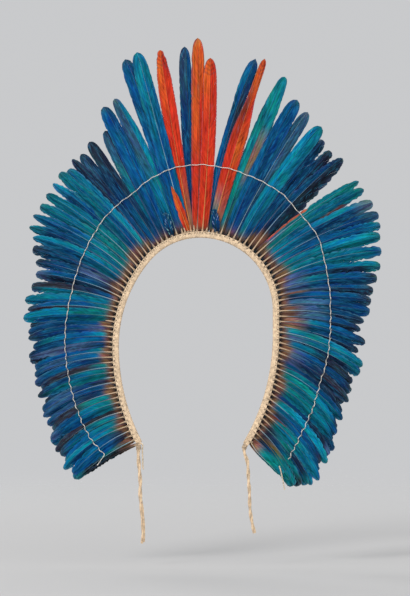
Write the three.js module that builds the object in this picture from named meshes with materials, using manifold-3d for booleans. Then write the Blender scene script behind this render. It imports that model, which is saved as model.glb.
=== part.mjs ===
// Feathered headdress: a fan of long crown feathers and shorter side feathers whose quills are held in a
// fibre band bent to a horseshoe, steadied by one restraining thread, with a tie at each end of the band.
// Millimetres, +Z up. The front faces -Y and the feathers fan out in the XZ plane. The origin is the inner
// crown point of the band, where it sits on the head.

import * as THREE from 'three';
import { mergeVertices } from 'three/addons/utils/BufferGeometryUtils.js';
import Module from 'manifold-3d';

const wasm = await Module();
wasm.setup();

// ---- Driving dimensions ----

// The band: a strip folded round the quill ends, open outwards. Radial sizes count from its inner edge.
const BAND_WIDTH = 10;
const BAND_THICKNESS = 7.2;
const BAND_LEG = 1.7; // wall in front of and behind the quills
const BAND_FOLD = 3.3; // solid fold along the inner edge
const BAND_SOFTEN = 1.4; // how far the inner edge is rounded off
const BAND_STEP = 21; // longest step along the outer edge between two sections

// The inner edge of the horseshoe from the crown point down each side: arcs (radius, degrees) and a run.
const BAND_LEFT = [
  { radius: 112, turn: 50 },
  { radius: 226, turn: 40 },
  { radius: 354, turn: 27.8 },
];
const BAND_RIGHT = [
  { radius: 124.4, turn: 90 },
  { run: 42 },
  { radius: 357, turn: 31.3 },
];

// Quills and vanes.
const QUILL_RADIUS = 1.6;
const QUILL_HALF_DEPTH = 1.35; // front to back, inside the band's slot
const QUILL_IN_BAND = 6; // how deep a quill sits in the slot
const QUILL_BARE = 6; // bare quill between the band and the vane
const QUILL_STRAIGHT = 3; // how far it stays on the band's middle plane
const SHAFT_HALF_DEPTH = 1.1; // ridge of the shaft at the start of the vane
const SHAFT_TIP_HALF_DEPTH = 0.4;
const VANE_SET_BACK = 0.3; // how far the vane's edges stand behind its shaft
const LAYER_STEP = 3; // front to back distance between two layers of feathers
const DISH_LENGTH = 2800; // a feather's set-back grows as its reach squared over this

const SIDE_GROUP = 3; // neighbouring side feathers that lap into one spray
const SIDE_LAYER = 0.5;
const SIDE_WIDTH = 23;

// Outlines of a vane: share of its length from bare quill to tip, share of its full width.
const OUTLINES = {
  side: [
    { along: 0.06, wide: 0.5 },
    { along: 0.36, wide: 1 },
    { along: 0.78, wide: 0.94 },
    { along: 0.95, wide: 0.56 },
    { along: 1, wide: 0.14 },
  ],
  crown: [
    { along: 0.05, wide: 0.4 },
    { along: 0.3, wide: 0.84 },
    { along: 0.6, wide: 1 },
    { along: 0.8, wide: 0.97 },
    { along: 0.92, wide: 0.84 },
    { along: 0.98, wide: 0.46 },
    { along: 1, wide: 0.12 },
  ],
  tapered: [
    { along: 0.05, wide: 0.4 },
    { along: 0.3, wide: 0.84 },
    { along: 0.6, wide: 1 },
    { along: 0.76, wide: 0.96 },
    { along: 0.88, wide: 0.74 },
    { along: 0.96, wide: 0.46 },
    { along: 1, wide: 0.12 },
  ],
  // A worn feather that has lost part of its vane below the tip.
  worn: [
    { along: 0.05, wide: 0.4 },
    { along: 0.3, wide: 0.86 },
    { along: 0.56, wide: 1 },
    { along: 0.68, wide: 0.74 },
    { along: 0.78, wide: 0.42 },
    { along: 0.9, wide: 0.56 },
    { along: 0.98, wide: 0.42 },
    { along: 1, wide: 0.12 },
  ],
};

const RED = 0xd8492c;
const ORANGE = 0xc96a34;
const TEAL = 0x0e7a86;
const BLUE = 0x0b5a94;
const NAVY = 0x1d3f5e;
const GREY = 0x4c5d66;
const CREAM = 0xdfc39d;
const CORD = 0xcdb48c;

// Crown feathers from left to right. at: the quill's place along the band's outer edge from the crown point,
// negative to the left. bend: the turn from quill to tip in degrees, clockwise from the front. layer: 0 is
// the band's middle plane, negative stands in front. Two short downy feathers and an orange one lie foremost.
const CROWN = [
  { at: -83.4, tipX: -203, tipZ: 142, bend: 2, width: 21, layer: 0.5, outline: 'crown', tint: TEAL },
  { at: -74.8, tipX: -189, tipZ: 163, bend: -2, width: 22, layer: -0.5, outline: 'crown', tint: GREY },
  { at: -66.2, tipX: -162, tipZ: 182, bend: 5, width: 22, layer: 0.5, outline: 'crown', tint: TEAL },
  { at: -57.6, tipX: -165, tipZ: 223, bend: -3, width: 25, layer: -0.5, outline: 'crown', tint: BLUE },
  { at: -48.6, tipX: -60, tipZ: 42, bend: 0, width: 14, layer: -2.2, outline: 'side', tint: NAVY },
  { at: -39.5, tipX: -146, tipZ: 237, bend: -8, width: 27, layer: 0.5, outline: 'tapered', tint: TEAL },
  { at: -30, tipX: -128, tipZ: 305, bend: -6, width: 28, layer: -0.4, outline: 'crown', tint: BLUE },
  { at: -25, tipX: -108, tipZ: 317, bend: 1, width: 29, layer: -1.3, outline: 'crown', tint: TEAL },
  { at: -20, tipX: -47, tipZ: 84, bend: 0, width: 15, layer: -2.2, outline: 'side', tint: ORANGE },
  { at: -15, tipX: -68.5, tipZ: 321, bend: 3, width: 27, layer: -0.4, outline: 'crown', tint: RED },
  { at: -10.1, tipX: -26.5, tipZ: 327, bend: 3, width: 22, layer: 0.5, outline: 'crown', tint: NAVY },
  { at: -5, tipX: -4, tipZ: 342, bend: -2, width: 24, layer: -0.4, outline: 'crown', tint: ORANGE },
  { at: 4, tipX: 17.5, tipZ: 307, bend: -5, width: 25, layer: -1.3, outline: 'crown', tint: RED },
  { at: 11, tipX: 95, tipZ: 306, bend: 14, width: 21, layer: 0.5, outline: 'crown', tint: BLUE },
  { at: 21.5, tipX: 111, tipZ: 306, bend: 6, width: 29, layer: -0.4, outline: 'worn', tint: RED },
  { at: 29, tipX: 24, tipZ: 48, bend: 0, width: 14, layer: -2.2, outline: 'side', tint: NAVY },
  { at: 35.5, tipX: 145, tipZ: 275, bend: 4, width: 30, layer: 0.5, outline: 'tapered', tint: TEAL },
  { at: 48.6, tipX: 166, tipZ: 235, bend: 7, width: 28, layer: -0.4, outline: 'crown', tint: BLUE },
  { at: 58.6, tipX: 184, tipZ: 214, bend: 6, width: 23, layer: 0.5, outline: 'crown', tint: BLUE },
  { at: 69.3, tipX: 207, tipZ: 189, bend: 11, width: 27, layer: -0.5, outline: 'crown', tint: TEAL },
];

// The rim of the side plumage: where the tip of a feather rooted at that place along the band ends, and how
// far the feather droops from quill to tip, in degrees. Places between two rows are interpolated.
const RIM_LEFT = [
  { at: 92, tipX: -218, tipZ: 133, droop: 6 },
  { at: 100.6, tipX: -226, tipZ: 116, droop: 9 },
  { at: 109.2, tipX: -241, tipZ: 111, droop: 12 },
  { at: 135, tipX: -274, tipZ: 55, droop: 18 },
  { at: 152, tipX: -293, tipZ: 19, droop: 22 },
  { at: 161, tipX: -286, tipZ: 0, droop: 23 },
  { at: 187, tipX: -279, tipZ: -64, droop: 20 },
  { at: 204, tipX: -294, tipZ: -108, droop: 18 },
  { at: 221, tipX: -295, tipZ: -139, droop: 18 },
  { at: 255, tipX: -293, tipZ: -188, droop: 20 },
  { at: 290, tipX: -282, tipZ: -239, droop: 24 },
  { at: 333, tipX: -268, tipZ: -297, droop: 26 },
  { at: 367, tipX: -254, tipZ: -341, droop: 27 },
  { at: 402, tipX: -235, tipZ: -387, droop: 26 },
  { at: 427, tipX: -219, tipZ: -413, droop: 20 },
  { at: 436, tipX: -210, tipZ: -411, droop: 18 },
  { at: 445, tipX: -196, tipZ: -404, droop: 16 },
];
const RIM_RIGHT = [
  { at: 79, tipX: 210, tipZ: 165, droop: 6 },
  { at: 88, tipX: 225, tipZ: 148, droop: 6 },
  { at: 97, tipX: 237, tipZ: 127, droop: 8 },
  { at: 105.6, tipX: 271, tipZ: 96, droop: 8 },
  { at: 114.5, tipX: 281, tipZ: 83, droop: 12 },
  { at: 124, tipX: 297, tipZ: 58, droop: 16 },
  { at: 133, tipX: 306, tipZ: 37, droop: 20 },
  { at: 150, tipX: 308, tipZ: 2, droop: 22 },
  { at: 167, tipX: 307, tipZ: -48, droop: 22 },
  { at: 185, tipX: 294, tipZ: -91, droop: 18 },
  { at: 219, tipX: 282, tipZ: -159, droop: 16 },
  { at: 245, tipX: 276, tipZ: -213, droop: 24 },
  { at: 253, tipX: 274, tipZ: -231, droop: 24 },
  { at: 270, tipX: 259, tipZ: -258, droop: 26 },
  { at: 322, tipX: 236, tipZ: -331, droop: 26 },
  { at: 357, tipX: 221, tipZ: -384, droop: 26 },
  { at: 382, tipX: 206, tipZ: -407, droop: 24 },
  { at: 400, tipX: 190, tipZ: -424, droop: 20 },
  { at: 417, tipX: 170, tipZ: -431, droop: 16 },
  { at: 443, tipX: 142, tipZ: -401, droop: 12 },
];

// The two runs of side feathers. first: the uppermost quill's place along the band; pitch: its distance to
// the next.
const LEFT = { name: 'left_feathers', side: -1, first: 92, pitch: 8.6, feathers: 42, rim: RIM_LEFT };
const RIGHT = { name: 'right_feathers', side: 1, first: 79, pitch: 8.87, feathers: 42, rim: RIM_RIGHT };
const SIDE_TINTS = [TEAL, BLUE, TEAL, TEAL, NAVY, TEAL, BLUE, BLUE, BLUE, TEAL, NAVY, BLUE, TEAL, TEAL, BLUE];

// The restraining thread lies across the front of the feathers. out: distance outside the band.
const THREAD_DIAMETER = 1.6;
const THREAD_STEPS = 60;
const THREAD_GAP = 0.5;
const THREAD_ROUTE = [
  { at: -437, out: 56 },
  { at: -406, out: 67 },
  { at: -366, out: 73 },
  { at: -312, out: 78 },
  { at: -262, out: 81 },
  { at: -206, out: 83 },
  { at: -171, out: 87 },
  { at: -132, out: 92 },
  { at: -96, out: 96 },
  { at: -68, out: 97 },
  { at: -42, out: 107 },
  { at: -15, out: 113 },
  { at: 20, out: 112 },
  { at: 54, out: 109 },
  { at: 82, out: 108 },
  { at: 108, out: 102 },
  { at: 134, out: 102 },
  { at: 166, out: 92 },
  { at: 200, out: 88 },
  { at: 246, out: 87 },
  { at: 289, out: 83 },
  { at: 322, out: 77 },
  { at: 358, out: 75 },
  { at: 397, out: 71 },
  { at: 438, out: 70 },
];
const CROWN_FRONT_LAYER = 1.3; // foremost layer that the thread crosses at the crown
const CROWN_HALF_SPAN = 62; // the crown's layers reach this far along the band
const CROWN_BLEND = 24;

// Loose cords: their routes in the XZ plane, from the band down.
const TUBE_SIDES = 8;
const TIE_LEFT = {
  diameter: 7,
  steps: 11,
  route: [
    [-104.4, -356.6], [-105, -366], [-104.7, -374], [-103.9, -387.4], [-102.7, -400.4],
    [-101.5, -416.7], [-101.7, -433], [-101, -449.1], [-100, -465.5], [-98.6, -481.8],
    [-97.8, -497.9], [-98, -510], [-98.8, -520.4],
  ],
};
const TIE_RIGHT = {
  diameter: 6.2,
  steps: 12,
  route: [
    [76.3, -355.2], [74.8, -361], [76.3, -369], [79.2, -376.5], [81, -385],
    [81.9, -397.1], [82.3, -410.2], [83.5, -424.8], [84.3, -441], [84.5, -454.1],
    [85.6, -467.2], [87.6, -480.1], [90, -491.5], [92.7, -502.9],
  ],
};
const LOOSE_END = {
  diameter: 2,
  steps: 7,
  route: [[-96.9, -353.3], [-97.9, -359], [-97.8, -368], [-97.2, -379], [-97.1, -389], [-96.2, -394.7]],
};
const THREAD_TAIL = {
  diameter: 1.6,
  steps: 7,
  front: 3.4, // it hangs from the thread's last knot, in front of the end feather
  route: [[134.6, -388.5], [137.2, -397], [139.6, -408], [141.9, -419], [143.9, -429.4]],
};

// ---- Geometry helpers ----

const radians = (degrees) => (degrees * Math.PI) / 180;

// The point `out` outside the band's outer edge at `at` along it, with the outward direction there.
function bandPoint(at, out) {
  const side = Math.sign(at) || 1;
  let left = Math.abs(at);
  let turn = 0;
  let x = 0;
  let z = 0;
  for (const piece of side < 0 ? BAND_LEFT : BAND_RIGHT) {
    if (piece.run) {
      const run = Math.min(left, piece.run);
      x += run * Math.cos(turn);
      z -= run * Math.sin(turn);
      left -= run;
    } else {
      const outer = piece.radius + BAND_WIDTH;
      const next = turn + Math.min(left / outer, radians(piece.turn));
      x += piece.radius * (Math.sin(next) - Math.sin(turn));
      z -= piece.radius * (Math.cos(turn) - Math.cos(next));
      left -= outer * (next - turn);
      turn = next;
    }
  }
  const outward = new THREE.Vector3(side * Math.sin(turn), 0, Math.cos(turn));
  const inner = new THREE.Vector3(side * x, 0, z);
  return { outward, point: inner.addScaledVector(outward, BAND_WIDTH + out) };
}

// The length of one half of the band along its outer edge.
function halfLength(pieces) {
  return pieces.reduce((sum, p) => sum + (p.run ?? (p.radius + BAND_WIDTH) * radians(p.turn)), 0);
}

// A closed solid through rings of points that all hold one section. section: the ring's outline in the plane,
// anticlockwise as seen by someone whom the rings approach.
function loft(rings, section) {
  const count = section.length;
  const positions = rings.flat().flatMap((p) => [p.x, p.y, p.z]);
  const faces = [];
  for (let ring = 0; ring + 1 < rings.length; ring++) {
    for (let i = 0; i < count; i++) {
      const j = (i + 1) % count;
      const a = ring * count + i;
      const b = ring * count + j;
      faces.push(a, b, b + count, a, b + count, a + count);
    }
  }
  const last = (rings.length - 1) * count;
  for (const [a, b, c] of THREE.ShapeUtils.triangulateShape(section, [])) {
    faces.push(a, c, b, last + a, last + b, last + c);
  }
  const geometry = new THREE.BufferGeometry();
  geometry.setAttribute('position', new THREE.Float32BufferAttribute(positions, 3));
  geometry.setIndex(faces);
  return geometry;
}

// Neighbouring feathers of a spray lap into one closed solid.
function fuse(geometries) {
  const solids = geometries.map((geometry) => {
    const merged = mergeVertices(geometry);
    return new wasm.Manifold(
      new wasm.Mesh({
        numProp: 3,
        vertProperties: merged.attributes.position.array,
        triVerts: new Uint32Array(merged.index.array),
      }),
    );
  });
  const mesh = solids.reduce((sum, solid) => sum.add(solid)).getMesh();
  const geometry = new THREE.BufferGeometry();
  geometry.setAttribute('position', new THREE.Float32BufferAttribute(mesh.vertProperties, 3));
  geometry.setIndex(new THREE.BufferAttribute(mesh.triVerts, 1));
  return geometry;
}

function interpolate(rows, at) {
  const next = Math.max(1, rows.findIndex((row) => row.at >= at));
  const low = rows[next - 1];
  const high = rows[next];
  const share = (at - low.at) / (high.at - low.at);
  const mix = (key) => THREE.MathUtils.lerp(low[key], high[key], share);
  return { tipX: mix('tipX'), tipZ: mix('tipZ'), droop: mix('droop') };
}

// ---- Feathers ----

const DIAMOND = [[1, 0], [0, 1], [-1, 0], [0, -1]].map(([x, y]) => new THREE.Vector2(x, y));

// A feather is a loft of diamond sections: quill in the band, bare quill, then the vane and raised shaft.
function featherGeometry({ at, tipX, tipZ, bend, width, layer, outline }) {
  const foot = bandPoint(at, 0).point;
  const chord = new THREE.Vector3(tipX, 0, tipZ).sub(foot);
  const length = chord.length();
  const leftward = new THREE.Vector3(-chord.z, 0, chord.x).normalize();
  const control = foot.clone().addScaledVector(chord, 0.5);
  control.addScaledVector(leftward, length * Math.tan(radians(bend) / 4));
  const tip = foot.clone().add(chord);
  tip.y = (length * length) / DISH_LENGTH;
  const axis = new THREE.QuadraticBezierCurve3(foot, control, tip);

  const vane = length - QUILL_BARE;
  const stations = [
    { reach: -QUILL_IN_BAND, half: QUILL_RADIUS, depth: QUILL_HALF_DEPTH },
    { reach: QUILL_STRAIGHT, half: QUILL_RADIUS, depth: QUILL_HALF_DEPTH },
    { reach: QUILL_BARE, half: QUILL_RADIUS, depth: SHAFT_HALF_DEPTH },
  ];
  for (const { along, wide } of OUTLINES[outline]) {
    const half = Math.max((wide * width) / 2, 1);
    const depth = THREE.MathUtils.lerp(SHAFT_HALF_DEPTH, SHAFT_TIP_HALF_DEPTH, along);
    stations.push({ reach: QUILL_BARE + along * vane, half, depth });
  }

  const rings = stations.map(({ reach, half, depth }) => {
    const share = Math.max(reach / length, 0);
    const centre = axis.getPoint(share);
    const forward = axis.getTangent(share).setY(0).normalize();
    centre.addScaledVector(forward, Math.min(reach, 0));
    const lift = THREE.MathUtils.clamp((reach - QUILL_STRAIGHT) / (QUILL_BARE - QUILL_STRAIGHT), 0, 1);
    centre.y += layer * LAYER_STEP * lift;
    const across = new THREE.Vector3(-forward.z, 0, forward.x);
    const setBack = reach > QUILL_BARE ? VANE_SET_BACK : 0;
    return DIAMOND.map((corner) => {
      const point = centre.clone().addScaledVector(across, corner.x * half);
      point.y -= corner.y * depth - Math.abs(corner.x) * setBack;
      return point;
    });
  });
  return loft(rings, DIAMOND);
}

// The nth feather of a run, counted from the crown down.
function sideFeather({ side, first, pitch, rim }, index) {
  const place = first + index * pitch;
  const { tipX, tipZ, droop } = interpolate(rim, place);
  const group = Math.floor(index / SIDE_GROUP);
  return {
    at: side * place,
    tipX,
    tipZ,
    bend: side * droop,
    width: SIDE_WIDTH,
    layer: group % 2 ? -side * SIDE_LAYER : side * SIDE_LAYER,
    outline: 'side',
  };
}

// ---- Band ----

function bandGeometry() {
  const half = BAND_THICKNESS / 2;
  const slot = half - BAND_LEG;
  const section = [
    [0, -half + BAND_SOFTEN],
    [BAND_SOFTEN, -half],
    [BAND_WIDTH, -half],
    [BAND_WIDTH, -slot],
    [BAND_FOLD, -slot],
    [BAND_FOLD, slot],
    [BAND_WIDTH, slot],
    [BAND_WIDTH, half],
    [BAND_SOFTEN, half],
    [0, half - BAND_SOFTEN],
  ].map(([radial, depth]) => new THREE.Vector2(radial, depth));
  const start = -halfLength(BAND_LEFT);
  const end = halfLength(BAND_RIGHT);
  const steps = Math.ceil((end - start) / BAND_STEP);
  const rings = [];
  for (let step = 0; step <= steps; step++) {
    const { point, outward } = bandPoint(THREE.MathUtils.lerp(start, end, step / steps), 0);
    rings.push(
      section.map(({ x, y }) => {
        const corner = point.clone().addScaledVector(outward, x - BAND_WIDTH);
        corner.y = -y;
        return corner;
      }),
    );
  }
  return loft(rings, section);
}

// ---- Cords ----

function tubeGeometry(curve, diameter, steps) {
  const ring = [];
  for (let i = 0; i < TUBE_SIDES; i++) {
    const angle = (i / TUBE_SIDES) * 2 * Math.PI;
    ring.push(new THREE.Vector2(Math.cos(angle), Math.sin(angle)).multiplyScalar(diameter / 2));
  }
  return new THREE.ExtrudeGeometry(new THREE.Shape(ring), { steps, extrudePath: curve });
}

function cordGeometry({ diameter, steps, route, front = 0 }) {
  const curve = new THREE.CatmullRomCurve3(route.map(([x, z]) => new THREE.Vector3(x, -front, z)));
  return tubeGeometry(curve, diameter, steps);
}

// The thread keeps a small gap to the foremost feathers, which stand further forward at the crown.
function threadGeometry() {
  const points = THREAD_ROUTE.map(({ at, out }) => {
    const { point } = bandPoint(at, out);
    const beyond = THREE.MathUtils.smoothstep(Math.abs(at), CROWN_HALF_SPAN, CROWN_HALF_SPAN + CROWN_BLEND);
    const layer = THREE.MathUtils.lerp(CROWN_FRONT_LAYER, SIDE_LAYER, beyond);
    const clear = SHAFT_HALF_DEPTH + THREAD_GAP + THREAD_DIAMETER / 2;
    point.y = (out * out) / DISH_LENGTH - layer * LAYER_STEP - clear;
    return point;
  });
  return tubeGeometry(new THREE.CatmullRomCurve3(points), THREAD_DIAMETER, THREAD_STEPS);
}

// ---- The headdress ----

const headdress = new THREE.Group();

function add(name, geometry, color, roughness) {
  const mesh = new THREE.Mesh(geometry, new THREE.MeshStandardMaterial({ color, roughness, metalness: 0 }));
  mesh.name = name;
  headdress.add(mesh);
}

const numbered = (name, index) => `${name}_${String(index + 1).padStart(2, '0')}`;

add('band', bandGeometry(), CREAM, 0.9);

CROWN.forEach((feather, index) => {
  add(numbered('crown_feather', index), featherGeometry(feather), feather.tint, 0.6);
});

for (const run of [LEFT, RIGHT]) {
  for (let group = 0; group * SIDE_GROUP < run.feathers; group++) {
    const spray = [];
    for (let i = 0; i < SIDE_GROUP; i++) {
      spray.push(featherGeometry(sideFeather(run, group * SIDE_GROUP + i)));
    }
    add(numbered(run.name, group), fuse(spray), SIDE_TINTS[group % SIDE_TINTS.length], 0.6);
  }
}

add('restraining_thread', threadGeometry(), CREAM, 0.9);
add('thread_tail', cordGeometry(THREAD_TAIL), CREAM, 0.9);
add('tie_left', cordGeometry(TIE_LEFT), CORD, 0.95);
add('tie_right', cordGeometry(TIE_RIGHT), CORD, 0.95);
add('loose_end', cordGeometry(LOOSE_END), CREAM, 0.95);

export default headdress;
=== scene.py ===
import math
import random

import bmesh
import bpy
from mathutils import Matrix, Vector


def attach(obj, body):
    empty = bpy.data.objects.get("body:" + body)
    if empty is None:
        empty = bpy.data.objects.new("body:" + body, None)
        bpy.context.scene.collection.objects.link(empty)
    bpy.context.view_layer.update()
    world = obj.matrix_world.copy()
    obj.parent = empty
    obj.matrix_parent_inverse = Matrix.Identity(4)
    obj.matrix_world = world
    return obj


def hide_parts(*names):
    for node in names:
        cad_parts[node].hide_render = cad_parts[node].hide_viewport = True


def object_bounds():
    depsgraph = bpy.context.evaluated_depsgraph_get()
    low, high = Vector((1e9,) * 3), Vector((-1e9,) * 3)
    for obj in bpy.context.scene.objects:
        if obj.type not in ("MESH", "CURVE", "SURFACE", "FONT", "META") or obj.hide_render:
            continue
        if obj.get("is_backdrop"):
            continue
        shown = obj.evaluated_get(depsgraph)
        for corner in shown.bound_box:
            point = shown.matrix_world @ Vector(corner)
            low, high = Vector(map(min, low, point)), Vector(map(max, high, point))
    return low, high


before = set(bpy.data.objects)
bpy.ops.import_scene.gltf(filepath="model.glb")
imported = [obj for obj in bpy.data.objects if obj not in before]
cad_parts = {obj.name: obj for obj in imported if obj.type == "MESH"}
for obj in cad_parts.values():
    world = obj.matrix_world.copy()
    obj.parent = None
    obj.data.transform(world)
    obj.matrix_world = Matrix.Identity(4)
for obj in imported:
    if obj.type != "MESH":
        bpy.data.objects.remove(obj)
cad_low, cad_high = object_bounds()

# ---- Band ----
# A strip of pale palm fibre, twined flat, folded over the quill ends and bent to a horseshoe. It is sewn through
# between the quills with a fine cord, and a thicker cord runs along the fold that rests on the head.

MM = 0.001  # all sizes below are in mm, and places along the band are counted from the crown, left negative
FRONT = Vector((0, -1, 0))
BAND_WIDTH = 10
BAND_DEPTH = 7.2
BAND_FOLD = 3.3  # from the inner edge to the bottom of the slot that takes the quills
BAND_LIP = 1.7  # thickness of the strip on each side of the slot
BAND_TAPER = 16  # length over which each end of the band draws in to its tie
BAND_DRAWN_IN = 0.38  # and by how much of its width and depth
BAND_SECTIONS = 300
# The inner edge from the crown point down each side, as arcs (radius, turn in degrees) and one straight run.
BAND_LEFT = [("arc", 112, 50), ("arc", 226, 40), ("arc", 354, 27.8)]
BAND_RIGHT = [("arc", 124.4, 90), ("run", 42, 0), ("arc", 357, 31.3)]


def band_place(at, out):
    """The point `out` outside the band's outer edge, `at` along it from the crown, and the outward direction."""
    side = -1 if at < 0 else 1
    left = abs(at)
    turn = 0.0
    inner = Vector((0, 0, 0))
    for kind, size, degrees in BAND_LEFT if side < 0 else BAND_RIGHT:
        if kind == "run":
            step = min(left, size)
            inner += Vector((math.cos(turn), 0, -math.sin(turn))) * step
            left -= step
        else:
            outer = size + BAND_WIDTH
            end = turn + min(left / outer, math.radians(degrees))
            inner += Vector((math.sin(end) - math.sin(turn), 0, math.cos(end) - math.cos(turn))) * size
            left -= outer * (end - turn)
            turn = end
    outward = Vector((side * math.sin(turn), 0, math.cos(turn)))
    point = Vector((side * inner.x, 0, inner.z)) + outward * (BAND_WIDTH + out)
    return point, outward


def half_length(pieces):
    return sum(size if kind == "run" else (size + BAND_WIDTH) * math.radians(turn) for kind, size, turn in pieces)


BAND_START = -half_length(BAND_LEFT)
BAND_END = half_length(BAND_RIGHT)
SEAM_GAP = 0.002  # points closer than this are one
GROOVE_SHADE = 1.35  # painted shade: how much a groove darkens the dye, for its depth
SHARP_EDGE = math.radians(50)


def new_mesh():
    """An empty mesh whose points carry a dye and their place on the piece: across, along in mm, and a seed."""
    bm = bmesh.new()
    bm.verts.layers.float_color.new("dye")
    bm.verts.layers.float_vector.new("weave")
    return bm


def grid(bm, columns, rows, place, material=0):
    """A grid of columns by rows. place(column, row) gives each corner's point in mm, its weave and its dye."""
    dye = bm.verts.layers.float_color["dye"]
    weave = bm.verts.layers.float_vector["weave"]
    made = bmesh.ops.create_grid(bm, x_segments=columns, y_segments=rows, size=0.5)["verts"]
    for vert in made:
        column = round((vert.co.x + 0.5) * columns)
        row = round((vert.co.y + 0.5) * rows)
        point, coordinates, colour = place(column, row)
        vert.co = point * MM
        vert[weave] = coordinates
        vert[dye] = (*colour, 1)
    for face in {face for vert in made for face in vert.link_faces}:
        face.material_index = material
        face.smooth = True
    return made


def close(bm, verts):
    """Merges the seam and poles of a new grid and turns its faces outwards."""
    bmesh.ops.remove_doubles(bm, verts=verts, dist=SEAM_GAP * MM)
    faces = list({face for vert in verts if vert.is_valid for face in vert.link_faces})
    bmesh.ops.recalc_face_normals(bm, faces=faces)


def here(value, share):
    """A value that is the same all along, or a function of the share of the way along."""
    return value(share) if callable(value) else value


def tube(bm, path, radius, sides, colour, seed=0.0, side_on=FRONT, ply=0.0, lay=1.0, material=0):
    """A tube with pointed ends along path. Its radius and colour may change along it. ply is the depth of the grooves
    between two twisted strands, as a share of the radius, and lay the length of one turn of the twist. The grooves
    are darkened with painted shade."""
    along = [0.0]
    for start, end in zip(path, path[1:]):
        along.append(along[-1] + (end - start).length)
    rows = len(path) + 1

    def place(column, row):
        index = min(max(row - 1, 0), len(path) - 1)
        ahead = path[min(index + 1, len(path) - 1)] - path[max(index - 1, 0)]
        across = ahead.cross(side_on).normalized()
        up = across.cross(ahead).normalized()
        angle = 2 * math.pi * column / sides
        share = along[index] / along[-1]
        reach = here(radius, share) if 0 < row < rows else 0
        groove = 1 - abs(math.cos(angle + math.pi * along[index] / lay))
        reach *= 1 - ply * groove
        point = path[index] + (across * math.cos(angle) + up * math.sin(angle)) * reach
        # Painted shade: the dye is darker in the grooves between the strands.
        shaded = tuple(part * (1 - GROOVE_SHADE * ply * groove) for part in here(colour, share))
        return point, (column / sides, along[index], seed), shaded

    close(bm, grid(bm, sides, rows, place, material))


def piece(name, bm, materials, nodes=()):
    """The finished mesh as an object that rides with the headdress and stands for these solids."""
    mesh = bpy.data.meshes.new(name)
    bm.to_mesh(mesh)
    bm.free()
    mesh.set_sharp_from_angle(angle=SHARP_EDGE)
    for material in materials:
        mesh.materials.append(material)
    made = bpy.data.objects.new(name, mesh)
    bpy.context.scene.collection.objects.link(made)
    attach(made, "root")
    if nodes:
        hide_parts(*nodes)
    return made


class Shade:
    """A socket in a material's node tree. Sums and products of these add the nodes that work them out."""

    def __init__(self, tree, socket=None):
        self.tree = tree
        self.socket = socket

    def node(self, kind, settings=None, sockets=None, output=0):
        made = self.tree.nodes.new(kind)
        for name, value in (settings or {}).items():
            setattr(made, name, value)
        for name, value in (sockets or {}).items():
            if isinstance(value, Shade):
                self.tree.links.new(value.socket, made.inputs[name])
            else:
                made.inputs[name].default_value = value
        return Shade(self.tree, made.outputs[output]) if made.outputs else None

    def math(self, operation, first, second):
        return self.node("ShaderNodeMath", {"operation": operation}, {0: first, 1: second})

    def __add__(self, other):
        return self.math("ADD", self, other)

    def __sub__(self, other):
        return self.math("SUBTRACT", self, other)

    def __rsub__(self, other):
        return self.math("SUBTRACT", other, self)

    def __mul__(self, other):
        return self.math("MULTIPLY", self, other)

    __radd__ = __add__
    __rmul__ = __mul__


def surface(name, build, **fixed):
    """A material. build(start) returns the sockets of its shader that change over the surface."""
    material = bpy.data.materials.new(name)
    material.use_nodes = True
    tree = material.node_tree
    tree.nodes.clear()
    start = Shade(tree)
    sockets = {**{key.replace("_", " "): value for key, value in fixed.items()}, **build(start)}
    shader = start.node("ShaderNodeBsdfPrincipled", None, sockets)
    start.node("ShaderNodeOutputMaterial", None, {"Surface": shader})
    return material


def weave_parts(start):
    """Across, along in mm and seed, from the piece's own attribute."""
    place = start.node("ShaderNodeAttribute", {"attribute_name": "weave"}, output="Vector")
    parts = start.node("ShaderNodeSeparateXYZ", None, {0: place})
    return [Shade(start.tree, socket) for socket in parts.socket.node.outputs]


def dye_of(start):
    return start.node("ShaderNodeAttribute", {"attribute_name": "dye"}, output="Color")


def blended(start, kind, share, one, other):
    """Two colours mixed, multiplied or added, by a share."""
    return start.node("ShaderNodeMix", {"data_type": "RGBA", "blend_type": kind}, {0: share, 6: one, 7: other},
                      output=2)


def tinted(start, dye, factor):
    """The dye, lighter or darker by a factor round 1."""
    grey = start.node("ShaderNodeCombineColor", None, {0: factor, 1: factor, 2: factor})
    return blended(start, "MULTIPLY", 1.0, dye, grey)


def noise(start, place, scale, detail):
    return start.node("ShaderNodeTexNoise", None, {"Vector": place, "Scale": scale, "Detail": detail})


FIBRES_PER_METRE = 900.0
STAINS_PER_METRE = 210.0


def fibre_look(start):
    """Twined fibre: slanting strands with fine fibres along them, darker in the grooves as painted shade."""
    across, along, seed = weave_parts(start)
    slant = start.node("ShaderNodeCombineXYZ", None, {0: along * 0.9 + across * 9.0, 1: seed, 2: 0.0})
    strands = start.node("ShaderNodeTexWave", {"wave_type": "BANDS"},
                         {"Vector": slant, "Scale": 0.16, "Distortion": 1.4, "Detail": 2.0, "Detail Scale": 1.5})
    place = start.node("ShaderNodeTexCoord", output="Object")
    fibres = noise(start, place, FIBRES_PER_METRE, 3.0)
    stains = noise(start, place, STAINS_PER_METRE, 3.0)
    height = strands * 0.9 + fibres * 0.4 + stains * 0.8
    bump = start.node("ShaderNodeBump", None, {"Strength": 0.9, "Distance": 0.0009, "Height": height})
    return {
        # The strands' bands darken the dye in the grooves as painted shade; fibres and stains vary its tone.
        "Base Color": tinted(start, dye_of(start), strands * 0.5 + fibres * 0.4 + stains * 1.9 - 0.1),
        "Roughness": fibres * 0.2 + 0.7,
        "Normal": bump,
    }


FIBRE_SHEEN = 0.25
fibre = surface("twined_fibre", fibre_look, Sheen_Weight=FIBRE_SHEEN)
CREAM = (0.78, 0.58, 0.38)
# The colour of the painted shade in a stitch hole.
STITCH_HOLE_SHADE = (0.06, 0.03, 0.015)
STITCH_PITCH = 8.7
STITCHES_OUT = 0.8  # where the painted shade of the stitch holes lies, as a share of the band's width


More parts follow.
